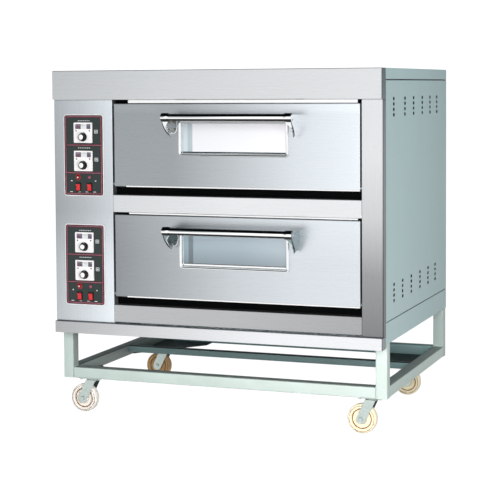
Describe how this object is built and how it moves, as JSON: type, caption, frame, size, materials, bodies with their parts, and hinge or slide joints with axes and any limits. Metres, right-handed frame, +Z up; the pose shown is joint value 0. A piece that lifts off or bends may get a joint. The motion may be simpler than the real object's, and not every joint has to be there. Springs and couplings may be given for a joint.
{
  "type": "deck oven",
  "caption": "Electric bakery deck oven on a castored stand: stacked chambers with bottom-hinged windowed doors, a control column on the left and vented side panels.",
  "frame": {"origin": "on the floor under the middle of the whole oven, handles and cable gland included", "axes": "+X to the right of someone facing the doors, +Y from the doors to the back panel, +Z up"},
  "size_m": [1.214, 1.0326, 1.24],
  "materials": {
    "painted_tube": "satin",
    "painted_sheet": "satin",
    "brushed_stainless": "satin",
    "chrome": "polished",
    "window_glass": "gloss",
    "control_enamel": "satin",
    "white_plastic": "satin",
    "black_plastic": "gloss",
    "red_plastic": "gloss",
    "lamp_red": "gloss",
    "zinc_steel": "satin",
    "cream_nylon": "satin",
    "gland_nylon": "matte",
    "chamber_steel": "satin",
    "deck_steel": "matte",
    "element_sheath": "matte",
    "mineral_wool": "matte"
  },
  "bodies": {
    "oven": {"back_panel": "painted_sheet", "base_pan": "painted_sheet", "bottom_fascia": "brushed_stainless", "cable_gland": "gland_nylon", "chamber_liner_lower": "chamber_steel", "chamber_liner_upper": "chamber_steel", "control_column": "brushed_stainless", "control_plate_lower": "control_enamel", "control_plate_upper": "control_enamel", "deck_plate_lower": "deck_steel", "deck_plate_upper": "deck_steel", "header_canopy": "brushed_stainless", "heating_element_lower": "element_sheath", "heating_element_upper": "element_sheath", "indicator_lamps_lower": "lamp_red", "indicator_lamps_upper": "lamp_red", "insulation": "mineral_wool", "lower_fascia": "brushed_stainless", "middle_fascia": "brushed_stainless", "right_column": "brushed_stainless", "side_panel_left": "painted_sheet", "side_panel_right": "painted_sheet", "stand_cross_rail": "painted_tube", "stand_post_front_left": "painted_tube", "stand_post_front_right": "painted_tube", "stand_post_rear_left": "painted_tube", "stand_post_rear_right": "painted_tube", "stand_rail_front": "painted_tube", "stand_rail_left": "painted_tube", "stand_rail_rear": "painted_tube", "stand_rail_right": "painted_tube", "thermostat_lower_bottom": "white_plastic", "thermostat_lower_top": "white_plastic", "thermostat_upper_bottom": "white_plastic", "thermostat_upper_top": "white_plastic", "top_cover": "painted_sheet"},
    "door_upper": {"door_shell_upper": "brushed_stainless", "window_frame_upper": "chrome", "window_glass_upper": "window_glass", "door_handle_upper": "chrome"},
    "knob_upper_top": {"thermostat_knob_upper_top": "black_plastic"},
    "knob_upper_bottom": {"thermostat_knob_upper_bottom": "black_plastic"},
    "rocker_upper_left": {"rocker_switch_upper_left": "red_plastic"},
    "rocker_upper_right": {"rocker_switch_upper_right": "red_plastic"},
    "door_lower": {"door_shell_lower": "brushed_stainless", "window_frame_lower": "chrome", "window_glass_lower": "window_glass", "door_handle_lower": "chrome"},
    "knob_lower_top": {"thermostat_knob_lower_top": "black_plastic"},
    "knob_lower_bottom": {"thermostat_knob_lower_bottom": "black_plastic"},
    "rocker_lower_left": {"rocker_switch_lower_left": "red_plastic"},
    "rocker_lower_right": {"rocker_switch_lower_right": "red_plastic"},
    "fork_front_left": {"caster_fork_front_left": "zinc_steel"},
    "wheel_front_left": {"caster_wheel_front_left": "cream_nylon"},
    "fork_front_right": {"caster_fork_front_right": "zinc_steel"},
    "wheel_front_right": {"caster_wheel_front_right": "cream_nylon"},
    "fork_rear_left": {"caster_fork_rear_left": "zinc_steel"},
    "wheel_rear_left": {"caster_wheel_rear_left": "cream_nylon"},
    "fork_rear_right": {"caster_fork_rear_right": "zinc_steel"},
    "wheel_rear_right": {"caster_wheel_rear_right": "cream_nylon"}
  },
  "joints": [
    {"name": "door_upper_hinge", "type": "hinge", "parent": "oven", "child": "door_upper", "pos_m": [0.0785, -0.40775, 0.841], "axis": [1, 0, 0], "range_deg": [0, 90]},
    {"name": "door_lower_hinge", "type": "hinge", "parent": "oven", "child": "door_lower", "pos_m": [0.0785, -0.40775, 0.451], "axis": [1, 0, 0], "range_deg": [0, 90]},
    {"name": "knob_upper_top_turn", "type": "hinge", "parent": "oven", "child": "knob_upper_top", "pos_m": [-0.49, -0.43575, 1.0055], "axis": [0, 1, 0], "range_deg": [0, 270]},
    {"name": "knob_upper_bottom_turn", "type": "hinge", "parent": "oven", "child": "knob_upper_bottom", "pos_m": [-0.49, -0.43575, 0.9055], "axis": [0, 1, 0], "range_deg": [0, 270]},
    {"name": "knob_lower_top_turn", "type": "hinge", "parent": "oven", "child": "knob_lower_top", "pos_m": [-0.49, -0.43575, 0.6155], "axis": [0, 1, 0], "range_deg": [0, 270]},
    {"name": "knob_lower_bottom_turn", "type": "hinge", "parent": "oven", "child": "knob_lower_bottom", "pos_m": [-0.49, -0.43575, 0.5155], "axis": [0, 1, 0], "range_deg": [0, 270]},
    {"name": "rocker_upper_left_tip", "type": "hinge", "parent": "oven", "child": "rocker_upper_left", "pos_m": [-0.512, -0.42505, 0.8275], "axis": [1, 0, 0], "range_deg": [-16, 0]},
    {"name": "rocker_upper_right_tip", "type": "hinge", "parent": "oven", "child": "rocker_upper_right", "pos_m": [-0.468, -0.42505, 0.8275], "axis": [1, 0, 0], "range_deg": [-16, 0]},
    {"name": "rocker_lower_left_tip", "type": "hinge", "parent": "oven", "child": "rocker_lower_left", "pos_m": [-0.512, -0.42505, 0.4375], "axis": [1, 0, 0], "range_deg": [-16, 0]},
    {"name": "rocker_lower_right_tip", "type": "hinge", "parent": "oven", "child": "rocker_lower_right", "pos_m": [-0.468, -0.42505, 0.4375], "axis": [1, 0, 0], "range_deg": [-16, 0]},
    {"name": "caster_front_left_swivel", "type": "hinge", "parent": "oven", "child": "fork_front_left", "pos_m": [-0.511, -0.32875, 0.116], "axis": [0, 0, 1], "continuous": true},
    {"name": "caster_front_right_swivel", "type": "hinge", "parent": "oven", "child": "fork_front_right", "pos_m": [0.541, -0.32875, 0.116], "axis": [0, 0, 1], "continuous": true},
    {"name": "caster_rear_left_swivel", "type": "hinge", "parent": "oven", "child": "fork_rear_left", "pos_m": [-0.51, 0.33125, 0.116], "axis": [0, 0, 1], "continuous": true},
    {"name": "caster_rear_right_swivel", "type": "hinge", "parent": "oven", "child": "fork_rear_right", "pos_m": [0.528, 0.33125, 0.116], "axis": [0, 0, 1], "continuous": true},
    {"name": "caster_front_left_roll", "type": "hinge", "parent": "fork_front_left", "child": "wheel_front_left", "pos_m": [-0.544, -0.32875, 0.051], "axis": [0, 1, 0], "continuous": true},
    {"name": "caster_front_right_roll", "type": "hinge", "parent": "fork_front_right", "child": "wheel_front_right", "pos_m": [0.508, -0.32875, 0.051], "axis": [0, 1, 0], "continuous": true},
    {"name": "caster_rear_left_roll", "type": "hinge", "parent": "fork_rear_left", "child": "wheel_rear_left", "pos_m": [-0.543, 0.33125, 0.051], "axis": [0, 1, 0], "continuous": true},
    {"name": "caster_rear_right_roll", "type": "hinge", "parent": "fork_rear_right", "child": "wheel_rear_right", "pos_m": [0.495, 0.33125, 0.051], "axis": [0, 1, 0], "continuous": true}
  ]
}
